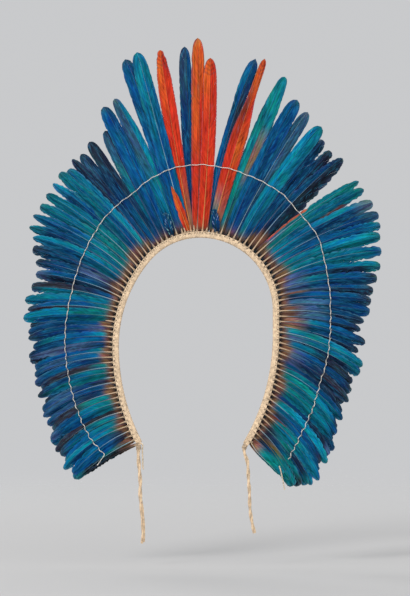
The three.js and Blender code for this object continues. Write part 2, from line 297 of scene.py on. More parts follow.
def band_look(start):
    """The same fibre, twined in slanting rows, with a row of small spots of painted shade where the sewing goes
    through, standing for its holes.
    """
    looks = fibre_look(start)
    across, along, _ = weave_parts(start)
    out = (across - STITCHES_OUT) * BAND_WIDTH
    aside = along.math("PINGPONG", along, STITCH_PITCH / 2)
    reach = out * out + aside * aside
    hole_shade = start.node("ShaderNodeMapRange", None, {"Value": reach, 1: 0.4, 2: 2.4, 3: 0.85, 4: 0.0})
    looks["Base Color"] = blended(start, "MIX", hole_shade, looks["Base Color"], (*STITCH_HOLE_SHADE, 1))
    return looks


twined_band = surface("twined_band", band_look, Sheen_Weight=FIBRE_SHEEN)

# Half the outline of the folded strip, from the rounded fold along the face and round the lip down into the slot:
# distance from the inner edge and depth from the middle. The other half mirrors it.
HALF_DEPTH = BAND_DEPTH / 2
HALF_SLOT = HALF_DEPTH - BAND_LIP
BAND_FACE = [
    (0.2, HALF_DEPTH * 0.55), (1.2, HALF_DEPTH * 0.88), (2.8, HALF_DEPTH), (BAND_WIDTH - 1.5, HALF_DEPTH),
    (BAND_WIDTH - 0.5, HALF_DEPTH - 0.25), (BAND_WIDTH, HALF_DEPTH - 0.85), (BAND_WIDTH - 0.4, HALF_SLOT),
    (BAND_FOLD, HALF_SLOT),
]
BAND_OUTLINE = [(0, 0), *((radial, -depth) for radial, depth in BAND_FACE), *reversed(BAND_FACE)]


def band_corner(column, row):
    """A corner of the band: its outline, a little uneven along the way, narrow at the ends and closed there."""
    end = min(max(row - 1, 0), BAND_SECTIONS) / BAND_SECTIONS
    at = BAND_START + (BAND_END - BAND_START) * end
    point, outward = band_place(at, 0)
    radial, depth = BAND_OUTLINE[column % len(BAND_OUTLINE)]
    to_end = min(at - BAND_START, BAND_END - at)
    drawn = 1 - BAND_DRAWN_IN * max(0, 1 - to_end / BAND_TAPER) ** 2
    if row in (0, BAND_SECTIONS + 2):
        drawn = 0
    middle = BAND_WIDTH / 2
    swell = 1 + 0.03 * math.sin(at * 0.9) + 0.02 * math.sin(at * 0.31)
    swollen = middle + (radial - middle) * drawn * swell
    return (
        point + outward * (swollen - BAND_WIDTH) + Vector((0, depth * drawn, 0)),
        (radial / BAND_WIDTH, at, depth),
        CREAM,
    )


bm = new_mesh()
close(bm, grid(bm, len(BAND_OUTLINE), BAND_SECTIONS + 2, band_corner))
piece("band_weave", bm, [twined_band], ["band"])

# The cord along the fold: two plies, laid on the inner edge and stopped short of the band's ends.
FOLD_CORD = 1.35
FOLD_CORD_SUNK = 0.4
FOLD_CORD_SHORT = 3
FOLD_CORD_STEP = 1.2
first, last = BAND_START + FOLD_CORD_SHORT, BAND_END - FOLD_CORD_SHORT
count = round((last - first) / FOLD_CORD_STEP)
line = [band_place(first + (last - first) * i / count, FOLD_CORD_SUNK - BAND_WIDTH)[0] for i in range(count + 1)]
bm = new_mesh()
tube(bm, line, FOLD_CORD, 8, CREAM, ply=0.3, lay=5.0)
piece("band_fold_cord", bm, [fibre])

# ---- Crown feathers ----
# Long tail and wing feathers of a parrot, blue and blue-green with a few scarlet ones in the middle. Each quill is
# pushed into the open edge of the band; the vanes are barbs hooked together, split here and there by wear.

SCARLET = (0.50, 0.030, 0.011)
ORANGE = (0.56, 0.085, 0.016)
AMBER = (0.62, 0.20, 0.05)
RUST = (0.17, 0.022, 0.012)
ICE = (0.26, 0.42, 0.52)
CYAN = (0.001, 0.195, 0.32)
TEAL = (0.001, 0.125, 0.205)
SEA = (0.002, 0.155, 0.175)
BLUE = (0.001, 0.069, 0.192)
DEEP = (0.002, 0.039, 0.12)
NAVY = (0.007, 0.018, 0.05)
SLATE = (0.022, 0.07, 0.13)
LILAC = (0.06, 0.095, 0.215)
STEEL = (0.042, 0.125, 0.235)
DUSK = (0.018, 0.06, 0.145)
OCHRE = (0.15, 0.095, 0.03)
GREY = (0.09, 0.135, 0.17)
UMBER = (0.021, 0.019, 0.031)
BROWN = (0.12, 0.056, 0.030)
SMOKE = (0.014, 0.022, 0.040)
# Near black: the dye of a few dark feathers, and the painted shade at the roots of the vanes by the band.
BLACK_DYE_AND_ROOT_SHADE = (0.007, 0.007, 0.008)
SALMON = (0.27, 0.12, 0.07)
QUILL = (0.60, 0.42, 0.27)

QUILL_RADIUS = 1.4
SHAFT_TIP_RADIUS = 0.25
SHAFT_TAPER = 3.2
SHAFT_STEPS = 26
SHAFT_SHORT = 2  # how far below the feather's tip its shaft ends
SHAFT_PROUD = 0.35  # how far the shaft stands out of the vane
SHAFT_SETTLES = 0.3  # share of the length over which the shaft moves to its side of the vane
QUILL_IN_BAND = 6
VANE_START = -2.0
LAYER_STEP = 3
LAYERS_PART_FROM, LAYERS_PART_OVER = 3, 12
DISH_LENGTH = 2800  # a feather leans back by its length squared over this
CUP_DEPTH = 5
VANE_THICKNESS = 0.15
BARB_STEPS = 4
BARB_SWEEP = 1.8  # how far a barb slants towards the tip, for its width
BARB_CURVE = 1.2
BARB_TONES = (0.84, 1.14)
CLUMP_BORDERS = (0.04, 0.97)
NARROWEST_CLUMP = 0.8
WHOLE_BELOW = 40  # a vane is less worn than elsewhere this near its quill
THINNED = 0.7  # a feather more worn than this has frayed all along
SEED_STEP = 7.31

# Half outlines of a vane: share of its length, share of its full width.
OUTLINES = {
    "side": [(0, 0.4), (0.06, 0.6), (0.36, 0.98), (0.7, 0.98), (0.86, 0.84), (0.95, 0.66), (0.985, 0.42), (1, 0)],
    "pointed": [(0, 0.4), (0.06, 0.6), (0.36, 0.98), (0.66, 0.98), (0.8, 0.88), (0.9, 0.71), (0.965, 0.46),
                (0.99, 0.25), (1, 0)],
    "blunt": [(0, 0.4), (0.06, 0.6), (0.36, 0.98), (0.72, 1.0), (0.88, 0.93), (0.955, 0.79), (0.985, 0.59),
              (0.997, 0.32), (1, 0)],
    "crown": [(0, 0.42), (0.05, 0.64), (0.3, 0.9), (0.6, 1.0), (0.85, 0.97), (0.94, 0.84), (0.985, 0.5), (1, 0)],
    "full": [(0, 0.5), (0.05, 0.7), (0.3, 0.94), (0.6, 1.0), (0.85, 0.95), (0.94, 0.8), (0.985, 0.46), (1, 0)],
    "flame": [(0, 0.4), (0.06, 0.6), (0.3, 0.96), (0.5, 0.98), (0.7, 0.76), (0.85, 0.5), (0.95, 0.26), (1, 0)],
    "tapered": [(0, 0.46), (0.05, 0.7), (0.3, 0.92), (0.6, 1.0), (0.76, 0.96), (0.88, 0.76), (0.96, 0.56),
                (0.99, 0.34), (1, 0)],
    "notched": [(0, 0.3), (0.05, 0.45), (0.2, 0.64), (0.4, 0.84), (0.65, 1.0), (0.84, 0.92), (0.92, 0.7),
                (0.95, 0.62), (0.965, 0.46), (0.99, 0.34), (1, 0)],
    "worn": [(0, 0.36), (0.05, 0.6), (0.3, 0.92), (0.56, 1.0), (0.66, 0.78), (0.76, 0.52), (0.86, 0.44), (0.93, 0.42),
             (0.98, 0.3), (1, 0)],
    "bitten": [(0, 0.3), (0.05, 0.46), (0.3, 0.72), (0.6, 0.76), (0.7, 0.8), (0.8, 1.0), (0.9, 0.98),
               (0.97, 0.7), (1, 0)],
}


def clamped(share):
    return min(max(share, 0), 1)


def blend(rows, at):
    """A smooth curve through the rows of a table (place, value, ...)."""
    last = len(rows) - 1
    step = next((i for i in range(last) if at <= rows[i + 1][0]), last - 1)
    low, high = rows[step], rows[step + 1]
    share = clamped((at - low[0]) / (high[0] - low[0]))
    result = []
    for key in range(1, len(low)):
        def slope(index):
            before, after = rows[max(index - 1, 0)], rows[min(index + 1, last)]
            return (after[key] - before[key]) / (after[0] - before[0])
        span = high[0] - low[0]
        a, b, c = share ** 3, share ** 2, share
        result.append(
            (2 * a - 3 * b + 1) * low[key] + (3 * b - 2 * a) * high[key]
            + span * ((a - 2 * b + c) * slope(step) + (a - b) * slope(step + 1))
        )
    return result


def mix(one, other, share):
    return tuple(a + (b - a) * clamped(share) for a, b in zip(one, other))


def ramp(stops, at):
    """The colour at a place along (place, colour) stops."""
    for (low, one), (high, other) in zip(stops, stops[1:]):
        if at <= high:
            return mix(one, other, (at - low) / (high - low))
    return stops[-1][1]


class Feather:
    """One feather's line from quill to tip, in mm. bend is in degrees, clockwise; layer 0 is the band's middle."""

    def __init__(self, at, tip_x, tip_z, bend, width, layer, outline, shaft=0.5, tilt=0.0):
        self.foot = band_place(at, 0)[0]
        chord = Vector((tip_x, 0, tip_z)) - self.foot
        self.length = chord.length
        leftward = Vector((-chord.z, 0, chord.x)).normalized()
        self.control = self.foot + chord / 2 + leftward * self.length * math.tan(math.radians(bend) / 4)
        self.tip = self.foot + chord + Vector((0, self.length ** 2 / DISH_LENGTH, 0))
        self.at, self.width, self.layer, self.outline = at, width, layer, outline
        self.shaft, self.tilt = shaft, tilt

    def axis(self, reach):
        """The centre line `reach` from the band's edge, with the direction to the left of it."""
        t = max(reach / self.length, 0)
        point = self.foot * (1 - t) ** 2 + self.control * 2 * t * (1 - t) + self.tip * t ** 2
        ahead = (self.control - self.foot) * (1 - t) + (self.tip - self.control) * t
        ahead = Vector((ahead.x, 0, ahead.z)).normalized()
        point += ahead * min(reach, 0)
        point.y += self.layer * LAYER_STEP * clamped((reach - LAYERS_PART_FROM) / LAYERS_PART_OVER)
        return point, Vector((-ahead.z, 0, ahead.x))

    def share(self, reach):
        """How far along the vane this is."""
        return clamped((reach - VANE_START) / (self.length - VANE_START))

    def half(self, reach):
        """Half the width of the vane here."""
        return blend(OUTLINES[self.outline], self.share(reach))[0] * self.width / 2

    def spot(self, reach, offset):
        """The point `offset` to the left of the centre line, on the tilted and slightly cupped vane."""
        point, left = self.axis(reach)
        cup = (offset / max(self.width, 1)) ** 2 * CUP_DEPTH
        return point + left * offset + Vector((0, self.tilt * offset + cup, 0))

    def shaft_offset(self, reach):
        """How far the shaft runs to the left of the centre line."""
        settle = min(self.share(reach) / SHAFT_SETTLES, 1)
        return (0.5 - self.shaft) * 2 * self.half(reach) * settle * (2 - settle)


def grow(bm, feather, colours, seed, clumps, wear, spacing, barb_steps=BARB_STEPS):
    """Adds one feather's two vanes, each a row of clumps of barbs that part towards the edge, and returns the line
    of its shaft. colours(along, side, across) gives the dye; spacing is the distance between rows of barbs."""
    dice = random.Random(seed)
    length = feather.length
    uneven = 1.3 if wear > THINNED else 3
    for side in (1, -1):
        cuts = [0] + sorted(dice.uniform(*CLUMP_BORDERS) for _ in range(clumps - 1)) + [1]
        parted = [(dice.uniform(0.4, 0.9), 0.03 + 0.3 * dice.random() ** 4) for _ in cuts]
        parted[0] = parted[-1] = (1, 0)
        tones = [dice.uniform(*BARB_TONES) for _ in cuts]
        frayed = [1 - wear * dice.random() ** uneven for _ in cuts]
        begun = 0
        for number in range(clumps):
            first = VANE_START + (length - VANE_START) * cuts[begun]
            last = VANE_START + (length - VANE_START) * cuts[number + 1]
            if last - first < NARROWEST_CLUMP:
                continue
            rows = max(2, round((last - first) / spacing))
            trims = [1 - wear * dice.random() ** uneven for _ in range(rows + 1)]
            trims[0], trims[-1] = frayed[begun], frayed[number + 1]
            start, end = parted[begun], parted[number + 1]
            begun = number + 1

            def place(column, row):
                """Out along the front of one row of barbs and back behind it."""
                reach = first + (last - first) * row / rows
                across = 1 - abs(column - barb_steps) / barb_steps
                depth, apart = start if row == 0 else end
                apart *= (row == 0) - (row == rows)
                apart *= max(0, (across - depth) / (1 - depth)) if depth < 1 else 0
                middle = feather.shaft_offset(reach)
                wide = max(feather.half(reach) - side * middle, 0.2)
                settle = min(max((reach + 6) / 30, 0.15), 1)
                sweep = min(wide * BARB_SWEEP * settle, (length - reach) * 0.85)
                tip = reach + sweep
                shaft_there = feather.shaft_offset(tip)
                kept = 1 - (1 - trims[row]) * clamped(reach / WHOLE_BELOW)
                edge = max(feather.half(tip) - side * shaft_there, 0.05) * kept
                station = min(reach + sweep * across ** BARB_CURVE + apart, length)
                offset = middle * (1 - across) + shaft_there * across + side * edge * across
                thick = 4 * across * (1 - across) * VANE_THICKNESS if 0 < row < rows else 0
                depth_wise = FRONT * thick * (1 if column < barb_steps else -1)
                return (
                    feather.spot(station, offset) + depth_wise,
                    (side * across, reach, seed * SEED_STEP),
                    tuple(part * tones[number] for part in colours(feather.share(station), side, across)),
                )

            close(bm, grid(bm, barb_steps * 2, rows, place))

    path = []
    for i in range(SHAFT_STEPS + 1):
        reach = -QUILL_IN_BAND + (length - SHAFT_SHORT + QUILL_IN_BAND) * i / SHAFT_STEPS
        path.append(feather.spot(reach, feather.shaft_offset(reach)) + FRONT * SHAFT_PROUD)
    return path


def shaft_radius(share):
    """Thick at the quill and thinning soon."""
    return (QUILL_RADIUS - SHAFT_TIP_RADIUS) * (1 - share) ** SHAFT_TAPER + SHAFT_TIP_RADIUS


def streaks(start, along, across, seed, detail):
    """Noise that changes at its own rates along the feather, across the vane and from feather to feather."""
    place = start.node("ShaderNodeCombineXYZ", None, {0: along, 1: across, 2: seed})
    return noise(start, place, 1.0, detail)


# The colour of the painted sheen on the barbs.
PAINTED_BARB_SHEEN = (0.007, 0.073, 0.122)


def vane_look(start):
    """Barbs as fine slanting streaks of the feather's dye, in clumps and long bands of their own tone. The blue turns
    a little greener here and there, and pale streaks of painted sheen lie on the barbs, more of them towards the tip."""
    across, along, seed = weave_parts(start)
    dye = dye_of(start)
    barbs = streaks(start, along * 1.5, across * 0.8, seed, 2.0)
    clumps = streaks(start, along * 0.16, across * 1.3, seed + 40.0, 3.0)
    bands = streaks(start, along * 0.022, across * 5.5, seed + 20.0, 3.0)
    # Two masks of painted sheen on the barbs: long pale streaks, and short bright scratches.
    sheen_streak_noise = streaks(start, along * 0.06, across * 3.6, seed + 80.0, 4.0)
    pale = start.node("ShaderNodeMapRange", None, {"Value": sheen_streak_noise, 1: 0.52, 2: 0.76, 3: 0.0, 4: 1.0})
    worn = streaks(start, along * 0.045, across * 8.0, seed + 120.0, 4.0)
    bare = start.node("ShaderNodeMapRange", None, {"Value": worn, 1: 0.60, 2: 0.70, 3: 0.0, 4: 1.3})
    far = start.math("MINIMUM", along * 0.007 + 0.3, 1.3)
    turn = streaks(start, along * 0.035, across * 2.2, seed + 60.0, 3.0)
    warm = start.node("ShaderNodeSeparateColor", None, {0: dye})
    height = barbs * 0.6 + clumps * 0.6 + bands * 0.8
    bump = start.node("ShaderNodeBump", None, {"Strength": 0.5, "Distance": 0.0006, "Height": height})
    light = barbs * 0.9 + clumps * 1.1 + bands * 2.4 - 1.2
    green = light * (turn * 1.5 + 0.25)
    blue = light * (1.3 - turn * 0.6)
    cast = start.node("ShaderNodeCombineColor", None, {0: light, 1: green, 2: blue})
    shaded = blended(start, "MULTIPLY", 1.0, dye, cast)
    # How much painted sheen shows: more towards the tip, less on red dyes.
    painted_sheen = (pale + bare) * far * (1 - warm * 1.7)
    return {
        "Base Color": blended(start, "ADD", painted_sheen, shaded, (*PAINTED_BARB_SHEEN, 1)),
        "Roughness": barbs * 0.3 + 0.42,
        "Normal": bump,
    }


vane = surface("feather_vane", vane_look, Specular_IOR_Level=0.04)


def horn_look(start):
    """The shaft: smooth horn with faint lengthwise streaks."""
    across, along, seed = weave_parts(start)
    lines = streaks(start, along * 0.08, across * 6.0, seed, 3.0)
    bump = start.node("ShaderNodeBump", None, {"Strength": 0.3, "Distance": 0.0002, "Height": lines})
    return {
        "Base Color": tinted(start, dye_of(start), lines * 0.8 + 0.6),
        "Roughness": lines * 0.25 + 0.28,
        "Normal": bump,
    }


horn = surface("feather_shaft", horn_look)

# Crown feathers from left to right: place along the band, tip x and z, bend, width, layer, outline, where the shaft
# lies from left to right; then the dyes of the left vane from quill to top, of the right vane, of the tip and of the
# shaft, and the record's slot.
CROWN = [
    (-83.4, -203, 142, 2, 21, 0.5, "crown", 0.6, (DEEP, NAVY, SLATE), (BLUE, DEEP, NAVY), SMOKE, SLATE, "teal"),
    (-74.8, -189, 163, 2, 22, -0.5, "crown", 0.6, (BLUE, DEEP, SMOKE), (DEEP, NAVY, SMOKE), UMBER, SLATE, "grey"),
    (-66.2, -162, 182, 5, 22, 0.5, "crown", 0.6, (DEEP, TEAL, SLATE), (BLUE, DEEP, NAVY), SMOKE, LILAC, "teal"),
    (-57.6, -165, 223, -3, 26.5, -0.5, "crown", 0.6, (DEEP, BLUE, BLUE), (BLUE, BLUE, DEEP), SLATE, BLUE, "blue"),
    (-48.6, -60, 42, 0, 14, -2.2, "side", 0.5, (NAVY, DEEP, BLUE), (NAVY, BLUE, DEEP), DEEP, GREY, "navy"),
    (-39.5, -146, 237, -8, 27, 0.5, "tapered", 0.6, (BLUE, TEAL, SLATE, SLATE), (SEA, SEA, CYAN, TEAL), GREY, CYAN,
     "teal"),
    (-30, -128, 305, -6, 28, -0.4, "crown", 0.6, (BLUE, BLUE, BLUE), (BLUE, DEEP, DEEP), SLATE, LILAC, "blue"),
    (-25, -108, 317, 1, 29, -1.3, "crown", 0.54, (BLUE, BLUE, TEAL, TEAL), (TEAL, BLUE, BLUE, TEAL), CYAN, ICE,
     "teal"),
    (-20, -49, 87, -5, 14, -2.2, "flame", 0.5, (SCARLET, ORANGE, ORANGE), (ORANGE, SCARLET, ORANGE), ORANGE, AMBER,
     "orange"),
    (-15, -68.5, 321, 3, 27, -0.4, "notched", 0.5, (ORANGE, SCARLET, SCARLET, ORANGE),
     (SALMON, SCARLET, SCARLET, SCARLET), ORANGE, AMBER, "red"),
    (-10.1, -26.5, 327, 3, 22, 0.5, "crown", 0.62, (NAVY, DEEP, DEEP, SLATE), (BLUE, BLUE, DEEP, DEEP), SLATE, NAVY,
     "navy"),
    (-5, -4, 342, -2, 24, -0.4, "full", 0.58, (SCARLET, SCARLET, ORANGE, ORANGE),
     (SCARLET, SCARLET, SCARLET, ORANGE), AMBER, RUST, "orange"),
    (4, 17.5, 307, -5, 25, -1.3, "full", 0.5, (SCARLET, SCARLET, SCARLET, ORANGE),
     (SCARLET, SCARLET, SCARLET, SCARLET), ORANGE, AMBER, "red"),
    (11, 95, 306, 14, 22, 0.5, "bitten", 0.5, (BLUE, BLUE, BLUE, DEEP, BLUE), (DEEP, BLUE, DEEP, UMBER, DEEP), SLATE,
     LILAC, "blue"),
    (21.5, 111, 306, 6, 29, -0.4, "worn", 0.5, (SEA, SCARLET, SCARLET, RUST, ORANGE),
     (SALMON, SCARLET, ORANGE, SCARLET, ORANGE), ORANGE, AMBER, "red"),
    (29, 24, 48, 0, 14, -2.2, "side", 0.5, (NAVY, DEEP, BLUE), (NAVY, BLUE, DEEP), DEEP, GREY, "navy"),
    (35.5, 145, 275, 4, 30, 0.5, "tapered", 0.45, (SEA, SEA, SEA), (UMBER, SEA, SALMON, SEA, SEA), SEA, SEA, "teal"),
    (48.6, 166, 235, 7, 28, -0.4, "crown", 0.4, (BLUE, BLUE, BLUE), (DEEP, DEEP, BLUE), SLATE, BLUE, "blue"),
    (58.6, 184, 214, 6, 23, 0.5, "crown", 0.4, (BLUE, BLUE, SLATE), (DEEP, SLATE, SLATE), GREY, ICE, "blue"),
    (69.3, 207, 189, 11, 27, -0.5, "crown", 0.4, (TEAL, CYAN, CYAN), (DEEP, TEAL, TEAL), SEA, CYAN, "teal"),
]
SHORT_FEATHER = 100
BAR_SPACING = 7
BAR_SLANT = 6
BARS_FROM, BARS_TO = 0.9, 0.985
FIRST_DYE, DYES_SPAN = 0.09, 0.8
RIM_FROM = 0.85
PALE_SPECKS = 0.12

quills = []
for number, row in enumerate(CROWN):
    at, tip_x, tip_z, bend, width, layer, outline, shaft, left_dyes, right_dyes, tip_dye, shaft_dye, slot = row
    feather = Feather(at, tip_x, tip_z, bend, width, layer, outline, shaft)
    barred = slot == "red"
    short = feather.length < SHORT_FEATHER
    downy = short and shaft_dye == GREY
    specks = random.Random(number)
    bare = 0.02 if slot in ("red", "orange") else 0.04

    def colours(along, side, across):
        dyes = left_dyes if side > 0 else right_dyes
        # Right at the band the vane is painted near black as shade between the quills, then brown like down.
        root = [(0, BLACK_DYE_AND_ROOT_SHADE), (0.4 * bare, BLACK_DYE_AND_ROOT_SHADE), (0.8 * bare, BROWN), (bare + 0.015, mix(BROWN, dyes[0], 0.6))]
        stops = [(FIRST_DYE + DYES_SPAN * i / (len(dyes) - 1), dye) for i, dye in enumerate(dyes)]
        dye = ramp([*root, *stops, (0.95, dyes[-1]), (1, tip_dye)], along)
        if barred and BARS_FROM < along < BARS_TO:
            bar = max(0, math.sin(2 * math.pi * (along * feather.length - BAR_SLANT * across) / BAR_SPACING))
            dye = mix(dye, RUST, 0.7 * bar)
        if downy and across > 0.25:
            return ICE if specks.random() < PALE_SPECKS else mix(dye, NAVY, 0.6 * specks.random())
        return mix(dye, SLATE, 0.4 * max(0, across - RIM_FROM) / 0.15)

    bm = new_mesh()
    wear = 0.9 if downy else 0.5 if short else 0.07
    path = grow(bm, feather, colours, number + 1, clumps=14 if downy else 6, wear=wear,
                spacing=1.5 if downy or barred else 4.5, barb_steps=12 if barred else BARB_STEPS)
    line = NAVY if downy else shaft_dye
    tube(bm, path, shaft_radius, 6,
         lambda share: ramp([(0, QUILL), (bare, QUILL), (bare + 0.03, mix(QUILL, line, 0.7)), (0.14, line),
                             (1, line if downy else mix(line, tip_dye, 0.6))], share),
         seed=number, material=1)
    name = f"crown_feather_{number + 1:02d}"
    piece(f"{name}_plume", bm, [vane, horn], [name])
    quills.append(feather)

# ---- Side feathers ----
# Shorter wing feathers that droop down both sides. The edge nearest the crown is bright and lies over the dark,
# broader web of the feather above it, which also carries a band of painted shadow where it is overlapped; brown and
# salmon down fills the space between the quills, painted near black as shade right at the band.

SIDE_WIDTH = 23.4
SIDE_LAYER = 0.5
SIDE_GROUP = 3  # feathers in one spray
SIDE_TILT = 0.11
THIN_FEATHER = 0.7  # narrower than this share of the usual width, a feather is ragged
LOOSE_ONES = range(15, 40)  # feathers that lie less evenly than the rest
BLUNT_ONES = range(5, 13)  # on the right
RIM_DYE = mix(SLATE, ICE, 0.3)

# Where the tips end: place along the band, tip x and z, droop in degrees.
RIM_LEFT = [
    (92, -218, 133, 6), (100.6, -226, 116, 9), (109.2, -241, 111, 12), (135, -274, 55, 18), (152, -293, 19, 22),
    (161, -286, 0, 23), (187, -279, -64, 20), (204, -294, -108, 18), (221, -295, -139, 18), (255, -293, -188, 20),
    (290, -282, -239, 24), (333, -268, -297, 26), (367, -254, -341, 27), (402, -235, -387, 26),
    (427, -219, -413, 20), (436, -210, -411, 18), (445, -196, -404, 16),
]
RIM_RIGHT = [
    (79, 210, 165, 6), (88, 225, 148, 6), (97, 237, 127, 8), (105.6, 271, 96, 8), (114.5, 281, 83, 12),
    (124, 297, 58, 16), (133, 306, 37, 20), (150, 308, 2, 22), (167, 307, -48, 22), (185, 294, -91, 18),
    (219, 282, -159, 16), (245, 276, -213, 24), (253, 274, -231, 24), (270, 259, -258, 26), (322, 236, -331, 26),
    (357, 221, -384, 26), (382, 206, -407, 24), (400, 190, -424, 20), (417, 170, -431, 16), (443, 142, -401, 12),
]
# The dyes of each feather from the crown down: near the quill, up to the thread, beyond it, at the tip, and of the
# lower vane.
LEFT_DYES = [
    (DEEP, DEEP, NAVY, SMOKE, NAVY), (SEA, CYAN, TEAL, TEAL, TEAL), (BLUE, BLUE, TEAL, SEA, TEAL),
    (SEA, TEAL, BLUE, CYAN, DEEP), (SEA, SEA, TEAL, SEA, TEAL), (SEA, SEA, TEAL, SEA, TEAL),
    (SEA, TEAL, BLUE, TEAL, BLUE), (TEAL, TEAL, DEEP, SEA, DEEP), (TEAL, CYAN, CYAN, CYAN, BLUE),
    (LILAC, LILAC, DEEP, UMBER, DEEP), (UMBER, LILAC, DEEP, SMOKE, DEEP), (UMBER, BLUE, BLUE, LILAC, NAVY),
    (BLUE, NAVY, UMBER, UMBER, TEAL), (TEAL, TEAL, TEAL, TEAL, BLUE), (SEA, BLUE, BLUE, UMBER, UMBER),
    (SEA, SEA, CYAN, CYAN, BLUE), (BLUE, BLUE, DEEP, SMOKE, DEEP), (BLUE, BLUE, DEEP, DEEP, NAVY),
    (LILAC, DEEP, DEEP, SMOKE, DEEP), (CYAN, BLUE, TEAL, DEEP, DEEP), (BLUE, BLUE, DEEP, NAVY, LILAC),
    (DEEP, DEEP, UMBER, SMOKE, NAVY), (SEA, BLUE, BLUE, DEEP, BLUE), (TEAL, BLUE, DUSK, DEEP, DEEP),
    (DEEP, DEEP, BLUE, DUSK, DEEP), (SEA, UMBER, UMBER, NAVY, NAVY), (SEA, TEAL, DEEP, SMOKE, TEAL),
    (SEA, CYAN, DEEP, SMOKE, BLUE), (UMBER, DEEP, DUSK, DEEP, DEEP), (DEEP, DEEP, DUSK, DUSK, DEEP),
    (DEEP, NAVY, DUSK, DEEP, UMBER), (SEA, SEA, UMBER, SMOKE, SEA), (SEA, CYAN, BLUE, LILAC, BLUE),
    (SEA, TEAL, BLUE, TEAL, DEEP), (UMBER, UMBER, UMBER, UMBER, UMBER), (TEAL, SEA, BLUE, UMBER, TEAL),
    (SEA, TEAL, BLUE, TEAL, BLUE), (SEA, CYAN, CYAN, CYAN, DEEP), (UMBER, BLUE, BLUE, BLUE, BLUE),
    (SALMON, SEA, TEAL, SEA, DEEP), (BROWN, SEA, SMOKE, SEA, BLACK_DYE_AND_ROOT_SHADE), (BROWN, BLACK_DYE_AND_ROOT_SHADE, SMOKE, BLACK_DYE_AND_ROOT_SHADE, BLACK_DYE_AND_ROOT_SHADE),
]
RIGHT_DYES = [
    (BLUE, BLUE, DEEP, NAVY, DEEP), (DEEP, DEEP, DEEP, UMBER, NAVY), (NAVY, DEEP, DEEP, NAVY, SMOKE),
    (LILAC, SEA, SEA, SEA, SEA), (SEA, SEA, TEAL, SEA, TEAL), (CYAN, BLUE, TEAL, GREY, DEEP),
    (LILAC, BLUE, DEEP, SLATE, DEEP), (TEAL, BLUE, BLUE, TEAL, BLUE), (SEA, TEAL, CYAN, SEA, TEAL),
    (SEA, TEAL, TEAL, BLUE, TEAL), (LILAC, BLUE, TEAL, SEA, NAVY), (LILAC, TEAL, BLUE, SMOKE, DEEP),
    (SALMON, STEEL, BLUE, UMBER, NAVY), (NAVY, BLUE, BLUE, UMBER, DEEP), (STEEL, STEEL, DEEP, DEEP, DEEP),
    (BROWN, STEEL, DEEP, SMOKE, NAVY), (BROWN, STEEL, DEEP, SMOKE, NAVY), (SALMON, TEAL, BLUE, SMOKE, DEEP),
    (SEA, BLUE, DEEP, SMOKE, NAVY), (CYAN, SEA, CYAN, SEA, TEAL), (LILAC, TEAL, TEAL, TEAL, NAVY),
    (TEAL, TEAL, SMOKE, SMOKE, SMOKE), (LILAC, BLUE, DEEP, SMOKE, DEEP), (LILAC, DEEP, UMBER, SMOKE, NAVY),
    (BLUE, LILAC, DEEP, SMOKE, NAVY), (BLUE, DEEP, NAVY, SMOKE, NAVY), (SEA, TEAL, BLUE, DEEP, TEAL),
    (SEA, SEA, TEAL, NAVY, TEAL), (SEA, TEAL, TEAL, BLUE, NAVY), (SEA, SEA, CYAN, DEEP, TEAL),
    (DEEP, DEEP, NAVY, DEEP, DEEP), (DEEP, DEEP, NAVY, LILAC, DEEP), (SEA, CYAN, CYAN, SEA, TEAL),
    (TEAL, BLUE, BLUE, UMBER, BLUE), (UMBER, BLUE, BLUE, BLUE, BLUE), (SEA, SEA, TEAL, BLUE, TEAL),
    (SALMON, SEA, BLUE, TEAL, BLUE), (UMBER, SEA, NAVY, SEA, DEEP), (UMBER, DEEP, SEA, UMBER, NAVY),
    (UMBER, OCHRE, SEA, SEA, SEA), (UMBER, DEEP, SEA, SEA, SEA), (SALMON, SEA, SEA, SEA, SEA),
]
# Name, side, place of the first feather, distance between feathers, rim, dyes, and the draw of small differences.
SIDES = [
    ("left_feathers", -1, 92, 8.6, RIM_LEFT, LEFT_DYES, 11),
    ("right_feathers", 1, 79, 8.87, RIM_RIGHT, RIGHT_DYES, 12),
]
SIDE_SLOTS = ["teal", "blue", "teal", "teal", "navy", "teal", "blue", "blue", "blue", "teal", "navy", "blue", "teal",
              "teal"]

# Feathers that differ from their neighbours: how wide and long, where the shaft lies, how far to the back.
ODD_ONES = {
    ("left_feathers", 15): (1.15, 1.05, 0.5, -0.9), ("left_feathers", 13): (1.0, 1.02, 0.5, 0),
    ("left_feathers", 40): (0.64, 1.0, 0.5, 0), ("left_feathers", 41): (0.42, 0.97, 0.45, 0),
    ("right_feathers", 2): (1.4, 1.05, 0.35, 0), ("right_feathers", 32): (1.05, 1.03, 0.5, -0.4),
    ("right_feathers", 33): (0.9, 0.93, 0.45, 0), ("right_feathers", 34): (0.9, 0.92, 0.45, 0),
    ("right_feathers", 41): (0.9, 1.0, 0.86, 0),
}
# A stripe of another dye along one edge of a feather: upper or lower edge, dye, and from where to where.
EDGES = {
    ("right_feathers", 3): (True, ORANGE, 0.16, 0.55), ("right_feathers", 4): (False, RUST, 0.35, 0.8),
    ("right_feathers", 16): (False, SALMON, 0.08, 0.2), ("right_feathers", 35): (True, RUST, 0.1, 0.3),
    ("left_feathers", 33): (False, RUST, 0.1, 0.3), ("left_feathers", 4): (False, LILAC, 0.2, 0.6),
}

